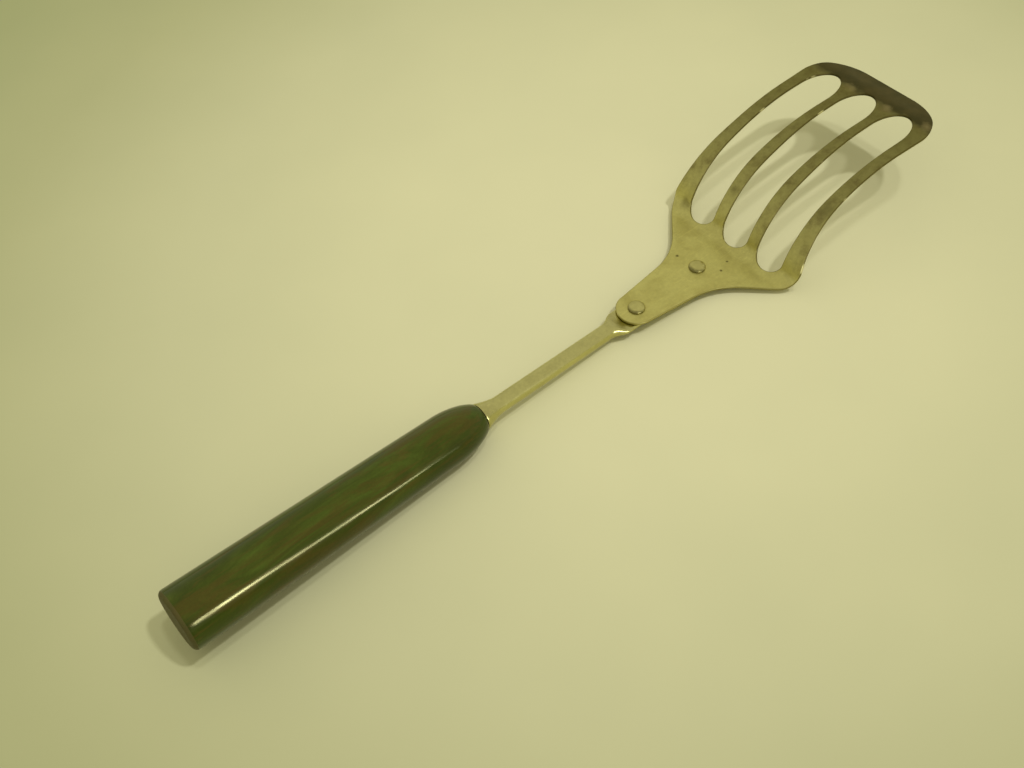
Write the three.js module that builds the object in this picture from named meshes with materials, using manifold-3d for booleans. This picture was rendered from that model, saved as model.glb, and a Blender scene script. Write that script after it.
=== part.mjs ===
// Slotted kitchen turner, about 316 mm long, lying the way it comes to rest on a flat surface:
// on the nose of its handle and on the pressed end of its shank, with the lip of the blade in the air.
// Millimetres, +Z up, +X from the handle towards the lip. The origin is the middle of its footprint.

import * as THREE from 'three';
import { mergeVertices } from 'three/addons/utils/BufferGeometryUtils.js';
import Module from 'manifold-3d';

const wasm = await Module();
wasm.setup();

// Driving dimensions of the moulded handle
const handleLength = 114.5;
const buttDiameter = 21;
const noseDiameter = 17.8;
const buttEdgeRadius = 2;
const noseCurveLength = 15;
const noseFaceMargin = 0.4;

// Driving dimensions of the tubular shank
const tubeDiameter = 6;
const tubeWall = 0.8;
const tubeLength = 48.5;
const flareDiameter = 9.6;
const flareLength = 8;
const flareRimWidth = 0.9;
const flareRimBulge = 0.2;
const shoulderLength = 6.5;
const tabWidth = 11;
const tabEndMargin = 5.5;
const pressedSlit = 0.2;

// Driving dimensions of the tang rod inside the handle and the shank
const tangLengthInHandle = 45;
const tangLengthInShank = 22;
const tangPointLength = 3;
const tangPointDiameter = 1.8;

// Driving dimensions of the rivets
const rivetSpacing = 30;
const rivetDiameter = 3.2;
const rivetHeadDiameter = 6.2;
const rivetHeadHeight = 1.1;
const rivetTailDiameter = 4.4;
const rivetTailDepth = 0.6;

// Driving dimensions of the blade, its outline measured on the flat sheet before it is bent
const sheetThickness = 1;
const neckEndRadius = 7.3;
const neckFrontHalfWidth = 9.5;
const neckLength = 18.8;
const neckFilletRadius = 26.5;
const shoulderAngle = 46.3;
const shoulderCornerRadius = 13.5;
const shoulderFlare = 3.3;
const waistPosition = 59.5;
const tipFlare = 0.7;
const tipCornerRadius = 17.5;
const slotCount = 3;
const slotWidth = 11.8;
const middleTineWidth = 4.7;
const outerTineWidth = 4.7;
const slotSetback = 3.15;
const slotFlare = 0.56;
const slotFlareStart = 45;
const slotTipCurveLength = 12.8;
const lipDepth = 11.1;

// Driving dimensions of the blade's side profile, from the front rivet towards the lip
const baseLength = 13.3;
const heelRadius = 6.2;
const heelTurn = 73.8;
const kneeRadius = 30.5;
const kneeTurn = 52.2;
const sweepRadius = 86;
const crestLength = 19;
const lipBendRadius = 22;
const lipTurn = 12;
const lipLength = 6;

// Clearances between pieces
const seatGap = 0.3;
const holeClearance = 0.3;
const boreEndClearance = 1;

// Fineness of the curved surfaces
const handleSegments = 60;
const tubeSegments = 40;
const rivetSegments = 32;
const arcSteps = 7;
const degreesPerBendStep = 6;
const neckRowSpacing = 2;
const cornerRowSpacing = 1;
const flareRowSpacing = 4;
const closestRows = 0.25;
const mergeDistance = 1e-4;
const smallestArea = 1e-9;
const cutOvershoot = 1;

// Sizes that follow from the driving dimensions
const degree = Math.PI / 180;
const tangRadius = tubeDiameter / 2 - tubeWall - holeClearance;
const boreRadius = tangRadius + holeClearance;
const boreDepth = tangLengthInHandle + boreEndClearance;
const noseFaceDiameter = flareDiameter + 2 * noseFaceMargin;
const tubeMeanRadius = (tubeDiameter - tubeWall) / 2;
const flareMeanRadius = (flareDiameter - tubeWall) / 2;
const tabThickness = 2 * tubeWall + pressedSlit;
const shankStartX = handleLength + seatGap;
const tubeEndX = shankStartX + flareLength + tubeLength;
const tabStartX = tubeEndX + shoulderLength;
const rearRivetX = tabStartX + seatGap + neckEndRadius;
const frontRivetX = rearRivetX + rivetSpacing;
const tabEndX = frontRivetX + tabEndMargin;
const bladeUndersideZ = tabThickness / 2 + seatGap;
const bladeTopZ = bladeUndersideZ + sheetThickness;
const rivetHeadZ = bladeTopZ + seatGap;
const slotStart = baseLength + slotSetback;
const slotPitch = slotWidth + middleTineWidth;
const waistHalfWidth = (slotPitch * slotCount - middleTineWidth) / 2 + outerTineWidth;
const shoulderHalfWidth = waistHalfWidth + shoulderFlare;
const tipHalfWidth = waistHalfWidth + tipFlare;

const phenolic = new THREE.MeshStandardMaterial({ color: 0x3f4a22, roughness: 0.2, metalness: 0 });
const plainSteel = new THREE.MeshStandardMaterial({ color: 0x8f8a7a, roughness: 0.38, metalness: 1 });
const brightSteel = new THREE.MeshStandardMaterial({ color: 0xa09a88, roughness: 0.3, metalness: 1 });
const rodSteel = new THREE.MeshStandardMaterial({ color: 0x77736a, roughness: 0.5, metalness: 1 });

// Keeps only positions and merges the vertices that neighbouring faces share
function closedGeometry(geometry) {
  const bare = geometry.index ? geometry.clone() : geometry;
  bare.deleteAttribute('normal');
  bare.deleteAttribute('uv');
  return mergeVertices(bare, mergeDistance);
}

function toSolid(geometry) {
  const closed = closedGeometry(geometry);
  const mesh = new wasm.Mesh({
    numProp: 3,
    vertProperties: new Float32Array(closed.attributes.position.array),
    triVerts: new Uint32Array(closed.index.array),
  });
  return new wasm.Manifold(mesh);
}

function toGeometry(solid) {
  const mesh = solid.getMesh();
  const geometry = new THREE.BufferGeometry();
  geometry.setAttribute('position', new THREE.BufferAttribute(mesh.vertProperties, 3));
  geometry.setIndex(new THREE.BufferAttribute(mesh.triVerts, 1));
  geometry.computeVertexNormals();
  return geometry;
}

// Collects triangles, leaving out those that have shrunk to a line
class SurfaceBuilder {
  constructor() {
    this.coordinates = [];
  }

  triangle(a, b, c) {
    const area = new THREE.Triangle(a, b, c).getArea();
    if (area > smallestArea) {
      for (const corner of [a, b, c]) {
        this.coordinates.push(corner.x, corner.y, corner.z);
      }
    }
  }

  quad(a, b, c, d) {
    this.triangle(a, b, c);
    this.triangle(a, c, d);
  }

  geometry() {
    const geometry = new THREE.BufferGeometry();
    geometry.setAttribute('position', new THREE.Float32BufferAttribute(this.coordinates, 3));
    return mergeVertices(geometry, mergeDistance);
  }
}

// Points on a round stretch of a radius-against-length profile
function profileArc(centreRadius, centreLength, semiRadius, semiLength, fromAngle, toAngle, steps) {
  const points = [];
  for (let step = 0; step <= steps; step += 1) {
    const angle = THREE.MathUtils.lerp(fromAngle, toAngle, step / steps);
    const radius = centreRadius + semiRadius * Math.cos(angle);
    const length = centreLength + semiLength * Math.sin(angle);
    points.push(new THREE.Vector2(radius, length));
  }
  return points;
}

// A revolve whose axis lies along +X, with a flat of its facets facing down
function revolveAlongX(profile, segments) {
  const geometry = new THREE.LatheGeometry(profile, segments);
  geometry.rotateY(Math.PI / segments);
  geometry.rotateZ(-Math.PI / 2);
  return geometry;
}

// Outside of the handle from the butt's edge to the rim of the nose face
function handleOutline() {
  const buttRadius = buttDiameter / 2;
  const noseRadius = noseDiameter / 2;
  const noseStart = handleLength - noseCurveLength;
  const faceShare = noseFaceDiameter / noseDiameter;
  const noseEndAngle = Math.acos(faceShare);
  const noseSemiLength = noseCurveLength / Math.sin(noseEndAngle);
  return [
    ...profileArc(
      buttRadius - buttEdgeRadius, buttEdgeRadius, buttEdgeRadius, buttEdgeRadius,
      -Math.PI / 2, 0, arcSteps,
    ),
    ...profileArc(0, noseStart, noseRadius, noseSemiLength, 0, noseEndAngle, 2 * arcSteps),
  ];
}

function makeHandle() {
  const boreEnd = handleLength - boreDepth;
  const profile = [
    new THREE.Vector2(0, 0),
    ...handleOutline(),
    new THREE.Vector2(boreRadius, handleLength),
    new THREE.Vector2(boreRadius, boreEnd),
    new THREE.Vector2(0, boreEnd),
  ];
  return revolveAlongX(profile, handleSegments);
}

function makeTang() {
  const start = handleLength - tangLengthInHandle;
  const end = shankStartX + tangLengthInShank;
  const profile = [
    new THREE.Vector2(0, start),
    new THREE.Vector2(tangPointDiameter / 2, start),
    new THREE.Vector2(tangRadius, start + tangPointLength),
    new THREE.Vector2(tangRadius, end),
    new THREE.Vector2(0, end),
  ];
  return revolveAlongX(profile, rivetSegments);
}

// The tube wall's centre line at one station: half of its height, and half of the flat stretch
// that appears as the round tube is pressed and spread into the tab
function tubeSection(meanRadius, pressed) {
  const pressedHalfHeight = (tubeWall + pressedSlit) / 2;
  const pressedHalfFlat = (tabWidth - tabThickness) / 2;
  return {
    halfHeight: THREE.MathUtils.lerp(meanRadius, pressedHalfHeight, pressed),
    halfFlat: pressedHalfFlat * pressed,
  };
}

function tubeStations() {
  const stations = [
    { x: shankStartX, meanRadius: flareMeanRadius - flareRimBulge, pressed: 0 },
    { x: shankStartX + flareRimWidth / 2, meanRadius: flareMeanRadius, pressed: 0 },
    { x: shankStartX + flareRimWidth, meanRadius: flareMeanRadius - flareRimBulge, pressed: 0 },
    { x: shankStartX + flareLength, meanRadius: tubeMeanRadius, pressed: 0 },
  ];
  const shoulderSteps = 2 * arcSteps;
  for (let step = 0; step <= shoulderSteps; step += 1) {
    const share = step / shoulderSteps;
    stations.push({
      x: tubeEndX + shoulderLength * share,
      meanRadius: tubeMeanRadius,
      pressed: THREE.MathUtils.smoothstep(share, 0, 1),
    });
  }
  stations.push({ x: tabEndX, meanRadius: tubeMeanRadius, pressed: 1 });
  return stations;
}

function tubeRing(station, offset) {
  const { halfHeight, halfFlat } = tubeSection(station.meanRadius, station.pressed);
  const radius = halfHeight + offset;
  const ring = [];
  for (let index = 0; index < tubeSegments; index += 1) {
    const angle = (2 * Math.PI * (index + 0.5)) / tubeSegments;
    const side = Math.sign(Math.cos(angle));
    ring.push(new THREE.Vector3(
      station.x,
      side * halfFlat + radius * Math.cos(angle),
      radius * Math.sin(angle),
    ));
  }
  return ring;
}

// Round tube with a flared rim at the handle and its other end pressed flat into a riveting tab
function makeShank() {
  const stations = tubeStations();
  const outer = stations.map((station) => tubeRing(station, tubeWall / 2));
  const inner = stations.map((station) => tubeRing(station, -tubeWall / 2));
  const surface = new SurfaceBuilder();
  const last = stations.length - 1;
  for (let index = 0; index < tubeSegments; index += 1) {
    const next = (index + 1) % tubeSegments;
    for (let row = 0; row < last; row += 1) {
      surface.quad(outer[row][index], outer[row][next], outer[row + 1][next], outer[row + 1][index]);
      surface.quad(inner[row][index], inner[row + 1][index], inner[row + 1][next], inner[row][next]);
    }
    surface.quad(outer[0][index], inner[0][index], inner[0][next], outer[0][next]);
    surface.quad(outer[last][index], outer[last][next], inner[last][next], inner[last][index]);
  }
  return cutRivetHoles(surface.geometry());
}

// Arcs and straights of the blade's side profile, each starting where the one before ends
function bladeSections() {
  const rearLength = rivetSpacing + neckEndRadius;
  const arc = (radius, turn) => ({ length: radius * Math.abs(turn) * degree, turn: turn * degree });
  return [
    { length: rearLength + baseLength, turn: 0 },
    arc(heelRadius, heelTurn),
    arc(kneeRadius, -kneeTurn),
    arc(sweepRadius, kneeTurn - heelTurn),
    { length: crestLength, turn: 0 },
    arc(lipBendRadius, -lipTurn),
    { length: lipLength, turn: 0 },
  ];
}

const sections = bladeSections();
const sheetRear = -(rivetSpacing + neckEndRadius);
const sheetTip = sections.reduce((length, section) => length + section.length, sheetRear);
const slotEnd = sheetTip - lipDepth;
const slotCurveStart = slotEnd - slotTipCurveLength;

// Place and slope of the sheet's mid surface at a distance along it from the front rivet
function sheetFrame(distance) {
  let x = frontRivetX + sheetRear;
  let z = bladeUndersideZ + sheetThickness / 2;
  let slope = 0;
  let remaining = distance - sheetRear;
  for (const section of sections) {
    const length = Math.min(remaining, section.length);
    if (length <= 0) {
      break;
    }
    const turn = section.turn * (length / section.length);
    const chord = turn === 0 ? length : (2 * length * Math.sin(turn / 2)) / turn;
    x += chord * Math.cos(slope + turn / 2);
    z += chord * Math.sin(slope + turn / 2);
    slope += turn;
    remaining -= length;
  }
  return { x, z, slope };
}

function roundedRise(distance, radius) {
  const inside = THREE.MathUtils.clamp(distance, 0, radius);
  return Math.sqrt(radius * radius - (radius - inside) ** 2);
}

// Shoulder outline of the flat sheet: straight neck, hollow fillet, straight shoulder, round corner
function shoulderOutline() {
  const neckAngle = Math.atan((neckFrontHalfWidth - neckEndRadius) / neckLength);
  const slopeAngle = shoulderAngle * degree;
  const neckFront = -rivetSpacing + neckLength;
  const filletCentreX = neckFront - neckFilletRadius * Math.sin(neckAngle);
  const filletCentreY = neckFrontHalfWidth + neckFilletRadius * Math.cos(neckAngle);
  const filletEndX = filletCentreX + neckFilletRadius * Math.sin(slopeAngle);
  const filletEndY = filletCentreY - neckFilletRadius * Math.cos(slopeAngle);
  const cornerStartY = shoulderHalfWidth - shoulderCornerRadius * (1 - Math.cos(slopeAngle));
  const cornerStartX = filletEndX + (cornerStartY - filletEndY) / Math.tan(slopeAngle);
  const cornerCentreX = cornerStartX + shoulderCornerRadius * Math.sin(slopeAngle);
  return { neckAngle, neckFront, filletCentreX, filletCentreY, filletEndX, filletEndY,
    cornerStartX, cornerCentreX, slopeAngle };
}

const shoulder = shoulderOutline();

function shoulderHalfWidthAt(distance) {
  if (distance < -rivetSpacing) {
    return roundedRise(distance - sheetRear, neckEndRadius);
  }
  if (distance < shoulder.neckFront) {
    return neckEndRadius + (distance + rivetSpacing) * Math.tan(shoulder.neckAngle);
  }
  if (distance < shoulder.filletEndX) {
    const across = distance - shoulder.filletCentreX;
    return shoulder.filletCentreY - Math.sqrt(neckFilletRadius ** 2 - across ** 2);
  }
  if (distance < shoulder.cornerStartX) {
    return shoulder.filletEndY + (distance - shoulder.filletEndX) * Math.tan(shoulder.slopeAngle);
  }
  const across = shoulder.cornerCentreX - distance;
  return shoulderHalfWidth - shoulderCornerRadius + Math.sqrt(shoulderCornerRadius ** 2 - across ** 2);
}

// Half width of the flat sheet: shoulders, then slightly waisted sides, then the rounded tip corners
function sheetHalfWidth(distance) {
  if (distance < shoulder.cornerCentreX) {
    return shoulderHalfWidthAt(distance);
  }
  const cornerStart = sheetTip - tipCornerRadius;
  const [end, endHalfWidth] = distance < waistPosition
    ? [shoulder.cornerCentreX, shoulderHalfWidth]
    : [cornerStart, tipHalfWidth];
  const share = Math.min((distance - waistPosition) / (end - waistPosition), 1);
  const side = waistHalfWidth + (endHalfWidth - waistHalfWidth) * share * share;
  const cornerInset = tipCornerRadius - roundedRise(sheetTip - distance, tipCornerRadius);
  return side - cornerInset;
}

// Half width of a slot: round at the heel, a little wider towards the lip, with a long round end there
function slotHalfWidth(distance) {
  if (distance <= slotStart || distance >= slotEnd) {
    return 0;
  }
  const heelHalfWidth = roundedRise(distance - slotStart, slotWidth / 2);
  const widening = slotFlare * THREE.MathUtils.smoothstep(distance, slotFlareStart, slotCurveStart);
  const intoCurve = Math.max(distance - slotCurveStart, 0) / slotTipCurveLength;
  return (heelHalfWidth + widening) * Math.sqrt(1 - intoCurve ** 2);
}

// Distances at which an arc that starts or ends square to the blade's length is sampled
function arcDistances(tangentPoint, radius, towards) {
  const distances = [];
  for (let step = 0; step <= arcSteps; step += 1) {
    const angle = (step / arcSteps) * (Math.PI / 2);
    distances.push(tangentPoint + towards * radius * (1 - Math.cos(angle)));
  }
  return distances;
}

function evenDistances(from, to, spacing) {
  const steps = Math.max(1, Math.ceil((to - from) / spacing));
  return Array.from({ length: steps + 1 }, (_, step) => from + ((to - from) * step) / steps);
}

// Every distance along the sheet at which the outline, a slot or the bend needs a row of points
function sheetStations() {
  const stations = [
    ...arcDistances(sheetRear, neckEndRadius, 1),
    ...arcDistances(slotStart, slotWidth / 2, 1),
    ...arcDistances(slotEnd, slotTipCurveLength, -1),
    ...evenDistances(slotFlareStart, slotCurveStart, flareRowSpacing),
    ...arcDistances(sheetTip, tipCornerRadius, -1),
    ...evenDistances(shoulder.neckFront, shoulder.cornerCentreX, neckRowSpacing),
    ...evenDistances(shoulder.cornerStartX, shoulder.cornerCentreX, cornerRowSpacing),
  ];
  let start = sheetRear;
  for (const section of sections) {
    const end = start + section.length;
    const steps = Math.ceil(Math.abs(section.turn) / (degreesPerBendStep * degree));
    stations.push(...evenDistances(start, end, section.length / Math.max(steps, 1)));
    start = end;
  }
  const fixed = [sheetRear, slotStart, slotEnd, sheetTip];
  return stations
    .filter((station) => fixed.every((end) => station === end || Math.abs(station - end) > closestRows))
    .sort((a, b) => a - b)
    .filter((station, index, all) => index === 0 || station - all[index - 1] > closestRows);
}

// Across one station: both edges of each tine, which close up where there is no slot
function tineEdges(distance) {
  const halfWidth = sheetHalfWidth(distance);
  const halfSlot = slotHalfWidth(distance);
  const edges = [-halfWidth];
  for (let slot = 0; slot < slotCount; slot += 1) {
    const centre = (slot - (slotCount - 1) / 2) * slotPitch;
    edges.push(THREE.MathUtils.clamp(centre - halfSlot, -halfWidth, halfWidth));
    edges.push(THREE.MathUtils.clamp(centre + halfSlot, -halfWidth, halfWidth));
  }
  edges.push(halfWidth);
  return edges;
}

function bladeRow(distance) {
  const { x, z, slope } = sheetFrame(distance);
  const rise = (sheetThickness / 2) * Math.cos(slope);
  const lean = (sheetThickness / 2) * Math.sin(slope);
  const edges = tineEdges(distance);
  return {
    top: edges.map((y) => new THREE.Vector3(x - lean, y, z + rise)),
    bottom: edges.map((y) => new THREE.Vector3(x + lean, y, z - rise)),
  };
}

// Slotted sheet lofted row by row along its bent side profile
function makeBlade() {
  const rows = sheetStations().map(bladeRow);
  const surface = new SurfaceBuilder();
  const tineCount = slotCount + 1;
  for (let tine = 0; tine < tineCount; tine += 1) {
    const right = 2 * tine;
    const left = right + 1;
    for (let index = 0; index + 1 < rows.length; index += 1) {
      const near = rows[index];
      const far = rows[index + 1];
      surface.quad(near.top[right], far.top[right], far.top[left], near.top[left]);
      surface.quad(near.bottom[right], near.bottom[left], far.bottom[left], far.bottom[right]);
      if (isOpenEdge(near, far, right, right - 1)) {
        surface.quad(near.bottom[right], far.bottom[right], far.top[right], near.top[right]);
      }
      if (isOpenEdge(near, far, left, left + 1)) {
        surface.quad(near.bottom[left], near.top[left], far.top[left], far.bottom[left]);
      }
    }
  }
  addEndWall(surface, rows[rows.length - 1]);
  return cutRivetHoles(surface.geometry());
}

// An edge has a wall unless the next tine's edge runs along it
function isOpenEdge(near, far, edge, neighbour) {
  if (near.top[neighbour] === undefined) {
    return true;
  }
  const nearGap = Math.abs(near.top[edge].y - near.top[neighbour].y);
  const farGap = Math.abs(far.top[edge].y - far.top[neighbour].y);
  return Math.max(nearGap, farGap) > 0;
}

function addEndWall(surface, row) {
  for (let edge = 0; edge + 1 < row.top.length; edge += 1) {
    surface.quad(row.bottom[edge], row.bottom[edge + 1], row.top[edge + 1], row.top[edge]);
  }
}

// Side outline of a rivet from the middle of its flush tail to the crown of its low domed head
function rivetProfile(extraRadius) {
  const tailZ = -tabThickness / 2;
  const stemRadius = rivetDiameter / 2 + extraRadius;
  const tailRadius = rivetTailDiameter / 2 + extraRadius;
  return [
    new THREE.Vector2(0, tailZ),
    new THREE.Vector2(tailRadius, tailZ),
    new THREE.Vector2(stemRadius, tailZ + rivetTailDepth),
  ];
}

function standUp(geometry, x) {
  geometry.rotateX(Math.PI / 2);
  geometry.translate(x, 0, 0);
  return geometry;
}

function makeRivet(x) {
  const headRadius = rivetHeadDiameter / 2;
  const crown = profileArc(0, rivetHeadZ, headRadius, rivetHeadHeight, 0, Math.PI / 2, arcSteps);
  crown[crown.length - 1].x = 0;
  const profile = [
    ...rivetProfile(0),
    new THREE.Vector2(rivetDiameter / 2, rivetHeadZ),
    ...crown,
  ];
  return standUp(new THREE.LatheGeometry(profile, rivetSegments), x);
}

// Straight hole with a countersink below, a little larger all round than the rivet
function makeRivetHole(x) {
  const [, tail, stem] = rivetProfile(holeClearance);
  const profile = [
    new THREE.Vector2(0, tail.y - cutOvershoot),
    new THREE.Vector2(tail.x, tail.y - cutOvershoot),
    tail,
    stem,
    new THREE.Vector2(stem.x, bladeTopZ + cutOvershoot),
    new THREE.Vector2(0, bladeTopZ + cutOvershoot),
  ];
  return toSolid(standUp(new THREE.LatheGeometry(profile, rivetSegments), x));
}

function cutRivetHoles(geometry) {
  const solid = toSolid(geometry)
    .subtract(makeRivetHole(rearRivetX))
    .subtract(makeRivetHole(frontRivetX));
  return toGeometry(solid);
}

// Slope at which the tool lies: a line from the tab's end that just touches the handle below
function restingSlope() {
  const tabBottomZ = -tabThickness / 2;
  const slopes = handleOutline().map(({ x: radius, y: length }) => (
    (tabBottomZ + radius) / (tabEndX - length)
  ));
  return Math.atan(Math.max(...slopes));
}

function namedMesh(name, geometry, material) {
  const mesh = new THREE.Mesh(geometry, material);
  mesh.name = name;
  return mesh;
}

const tool = new THREE.Group();
tool.add(namedMesh('handle', closedGeometry(makeHandle()), phenolic));
tool.add(namedMesh('tang', closedGeometry(makeTang()), rodSteel));
tool.add(namedMesh('shank', makeShank(), brightSteel));
tool.add(namedMesh('blade', makeBlade(), plainSteel));
tool.add(namedMesh('rear_rivet', closedGeometry(makeRivet(rearRivetX)), brightSteel));
tool.add(namedMesh('front_rivet', closedGeometry(makeRivet(frontRivetX)), brightSteel));
tool.rotation.y = restingSlope();

// Stands the tilted tool on Z = 0 with the origin under the middle of its box
const turner = new THREE.Group();
turner.add(tool);
const box = new THREE.Box3().setFromObject(turner, true);
const middle = box.getCenter(new THREE.Vector3());
tool.position.set(-middle.x, -middle.y, -box.min.z);

export default turner;
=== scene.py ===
"""Looks of the slotted kitchen turner: fine meshes over the CAD solids, materials and light."""

import math

import bmesh
import bpy
import numpy as np
from mathutils import Matrix, Vector, geometry


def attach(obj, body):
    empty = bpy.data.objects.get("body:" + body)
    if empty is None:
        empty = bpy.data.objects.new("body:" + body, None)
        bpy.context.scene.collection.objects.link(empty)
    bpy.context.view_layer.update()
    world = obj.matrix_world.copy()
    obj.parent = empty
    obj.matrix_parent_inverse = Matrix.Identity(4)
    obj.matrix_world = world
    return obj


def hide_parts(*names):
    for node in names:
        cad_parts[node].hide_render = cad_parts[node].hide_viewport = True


MM = 0.001
DEGREE = math.pi / 180

# Where the tool lies: tilt about Y, and the middle of the butt face in millimetres
TILT = 3.81001 * DEGREE
BUTT_CENTRE = (-157.355, 0.0, 15.574)

# Handle, millimetres along the tool's axis from the butt face
HANDLE_LENGTH = 114.5
BUTT_RADIUS = 10.5
NOSE_RADIUS = 8.9
BUTT_EDGE_RADIUS = 2.0
NOSE_CURVE_LENGTH = 15.0
NOSE_FACE_RADIUS = 5.2
NOSE_RIM_ANGLE = 3
NOSE_RIM = ((-0.12, 0.05), (0.0, -0.25))
BORE_RADIUS = 2.2
BORE_SHOWN_DEPTH = 6
BUTT_RING_RADII = (2.0, 6.0)
BUTT_EDGE_MARGIN = 0.4

# Shank
TUBE_RADIUS = 3.0
TUBE_WALL = 0.8
TUBE_LENGTH = 48.5
FLARE_RADIUS = 4.8
FLARE_LENGTH = 8.0
SHOULDER_LENGTH = 6.5
TAB_WIDTH = 11.0
TAB_THICKNESS = 1.8
TAB_END_MARGIN = 5.5
SEAT_GAP = 0.3

# Rounding of the shank's ends; the flare's rim as length, and how far short of the full radius
FLARE_RIM = ((0.0, 0.22), (0.18, 0.05), (0.45, 0.0), (0.8, 0.04), (1.1, 0.16))
FLARE_POWER = 1.45
RIM_EDGE = 0.15
TAB_EDGE = 0.12
TAB_INNER_EDGE = 0.1

# Blade, distances along the sheet from the front rivet
SHEET_THICKNESS = 1.0
SHEET_EDGE_RADIUS = 0.28
SHEET_EDGE_MARGIN = 0.3
SHEET_EDGE_TURNS = (0, 30, 60, 90)
RIVET_SPACING = 30.0
NECK_END_RADIUS = 7.3
NECK_FRONT_HALF_WIDTH = 9.5
NECK_LENGTH = 18.8
NECK_FILLET_RADIUS = 26.5
SHOULDER_ANGLE = 46.3
SHOULDER_HALF_WIDTH = 30.4
SHOULDER_CORNER_RADIUS = 13.5
WAIST_HALF_WIDTH = 27.1
WAIST_POSITION = 59.5
TIP_HALF_WIDTH = 27.8
TIP_CORNER_RADIUS = 17.5
SLOT_CENTRES = (-16.5, 0.0, 16.5)
SLOT_HALF_WIDTH = 5.9
SLOT_START = 16.45
SLOT_FLARE = 0.56
SLOT_FLARE_START = 45.0
SLOT_TIP_CURVE = 12.8
LIP_DEPTH = 11.1

# The blade's profile: lengths of its straights, radii and turns of its bends, up is positive
BASE_LENGTH = 13.3
HEEL_BEND = (6.2, 73.8)
KNEE_BEND = (30.5, -52.2)
SWEEP_BEND = (86.0, -21.6)
CREST_LENGTH = 19.0
LIP_BEND = (22.0, -12)
LIP_LENGTH = 6.0

# Rivet heads; the rim as height, and how far short of the full radius
RIVET_HEAD_RADIUS = 3.1
RIVET_HEAD_HEIGHT = 1.1
RIVET_RIM = ((0.0, 0.5), (0.0, 0.12), (0.1, 0.02), (0.25, 0.0))
RIVET_CROWN_RADIUS = 0.02
# Angle of the side of each rivet head where the dirt and painted shade round its rim are lightest;
# they are darkest opposite it
LEAST_SHADED_SIDE = 25 * DEGREE

# Fineness of the meshes: counts of steps and of points round a ring, and spacings in millimetres
HANDLE_SEGMENTS = 160
HANDLE_STEPS = 60
BUTT_EDGE_STEPS = 10
NOSE_STEPS = 24
SHANK_SEGMENTS = 96
FLARE_STEPS = 14
TUBE_STEPS = 40
SHOULDER_STEPS = 22
TAB_STEPS = 30
NECK_STEPS = 20
ROUND_STEPS = 24
SHOULDER_LINE_STEPS = 4
SHOULDER_CORNER_STEPS = 12
SIDE_STEPS = 60
TIP_LINE_STEPS = 12
SLOT_ROUND_STEPS = 36
SLOT_SIDE_STEPS = 80
SLOT_TIP_STEPS = 48
RIVET_SEGMENTS = 64
RIVET_DOME_STEPS = 16
LOOP_SPACING = 0.7
GRID_SPACING = 1.1
GRID_STRETCH = 1.2
GRID_MARGIN = 0.55
WELD_DISTANCE = 2e-6
CDT_TOLERANCE = 1e-6

# How the sheet darkens along its length, and its marks and painted highlight spots: along, across,
# radius
ALONG_DARKENING = (
    (10.0, 1.0), (22.0, 0.84), (34.0, 0.66), (50.0, 0.50), (72.0, 0.42), (90.0, 0.34),
)
STAINS = ((46.0, -24.6, 3.4), (35.0, 8.3, 1.5), (20.0, 24.0, 2.4))
TINE_END_GLINTS = ((97.6, 8.3, 2.2), (97.6, -8.3, 2.2), (100.5, -24.5, 2.0))
PITS = ((-1.3, 8.8, 0.6), (10.0, -5.2, 0.45), (5.1, -6.9, 0.5))

# Colours, as linear red, green and blue
PHENOLIC_GREENS = (
    (0.3, (0.017, 0.029, 0.003)), (0.5, (0.035, 0.055, 0.005)), (0.68, (0.066, 0.102, 0.012)),
)
PHENOLIC_BROWN = (0.062, 0.044, 0.007)
PHENOLIC_VEIN = (0.085, 0.048, 0.010)
PHENOLIC_BUTT = (0.085, 0.068, 0.026)
PHENOLIC_SHINE = (1.0, 0.95, 0.45, 1)
STAIN_COLOUR = (0.075, 0.060, 0.022)
BLOTCH_COLOUR = (0.13, 0.10, 0.035)
EDGE_SHADE_COLOUR = (0.12, 0.10, 0.035)
EDGE_GLINT_AND_WEAR_COLOUR = (0.82, 0.78, 0.45)
LIP_DARK_COLOURS = ((0.034, 0.030, 0.006), (0.058, 0.045, 0.010))
TINE_END_GLINT_COLOUR = (0.26, 0.215, 0.09)
PIT_COLOUR = (0.05, 0.035, 0.015)
SHEET_SHINE = (1.0, 0.93, 0.5, 1)
DIRT_AND_SHADE_COLOUR = (0.10, 0.085, 0.03)
PAPER_COLOURS = ((0.635, 0.62, 0.39), (0.665, 0.645, 0.405))

# Steels: light colour, dark colour, roughness
SHEET_STEEL = ((0.655, 0.615, 0.225), (0.46, 0.41, 0.13), 0.42)
TUBE_STEEL = ((0.58, 0.55, 0.23), (0.40, 0.37, 0.15), 0.2)
RIVET_STEEL = ((0.62, 0.58, 0.23), (0.40, 0.37, 0.13), 0.32)
ROD_STEEL = ((0.42, 0.39, 0.32), (0.25, 0.22, 0.17), 0.45)

# Floor, metres: painted light falloff, how much darker the paper is painted at a distance from the
# middle of the light
FLOOR_HALF_SIZE = 2.4
FLOOR_STEPS = 24
LIGHT_MIDDLE = (0.055, 0.02, 0.0)
FLOOR_PAINTED_FALLOFF = (
    (0.0, (1.02, 1.02, 1.03)), (0.1, (0.96, 0.97, 0.96)), (0.18, (0.82, 0.84, 0.81)),
    (0.26, (0.63, 0.66, 0.57)), (0.36, (0.50, 0.55, 0.43)), (0.7, (0.40, 0.45, 0.33)),
)

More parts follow.
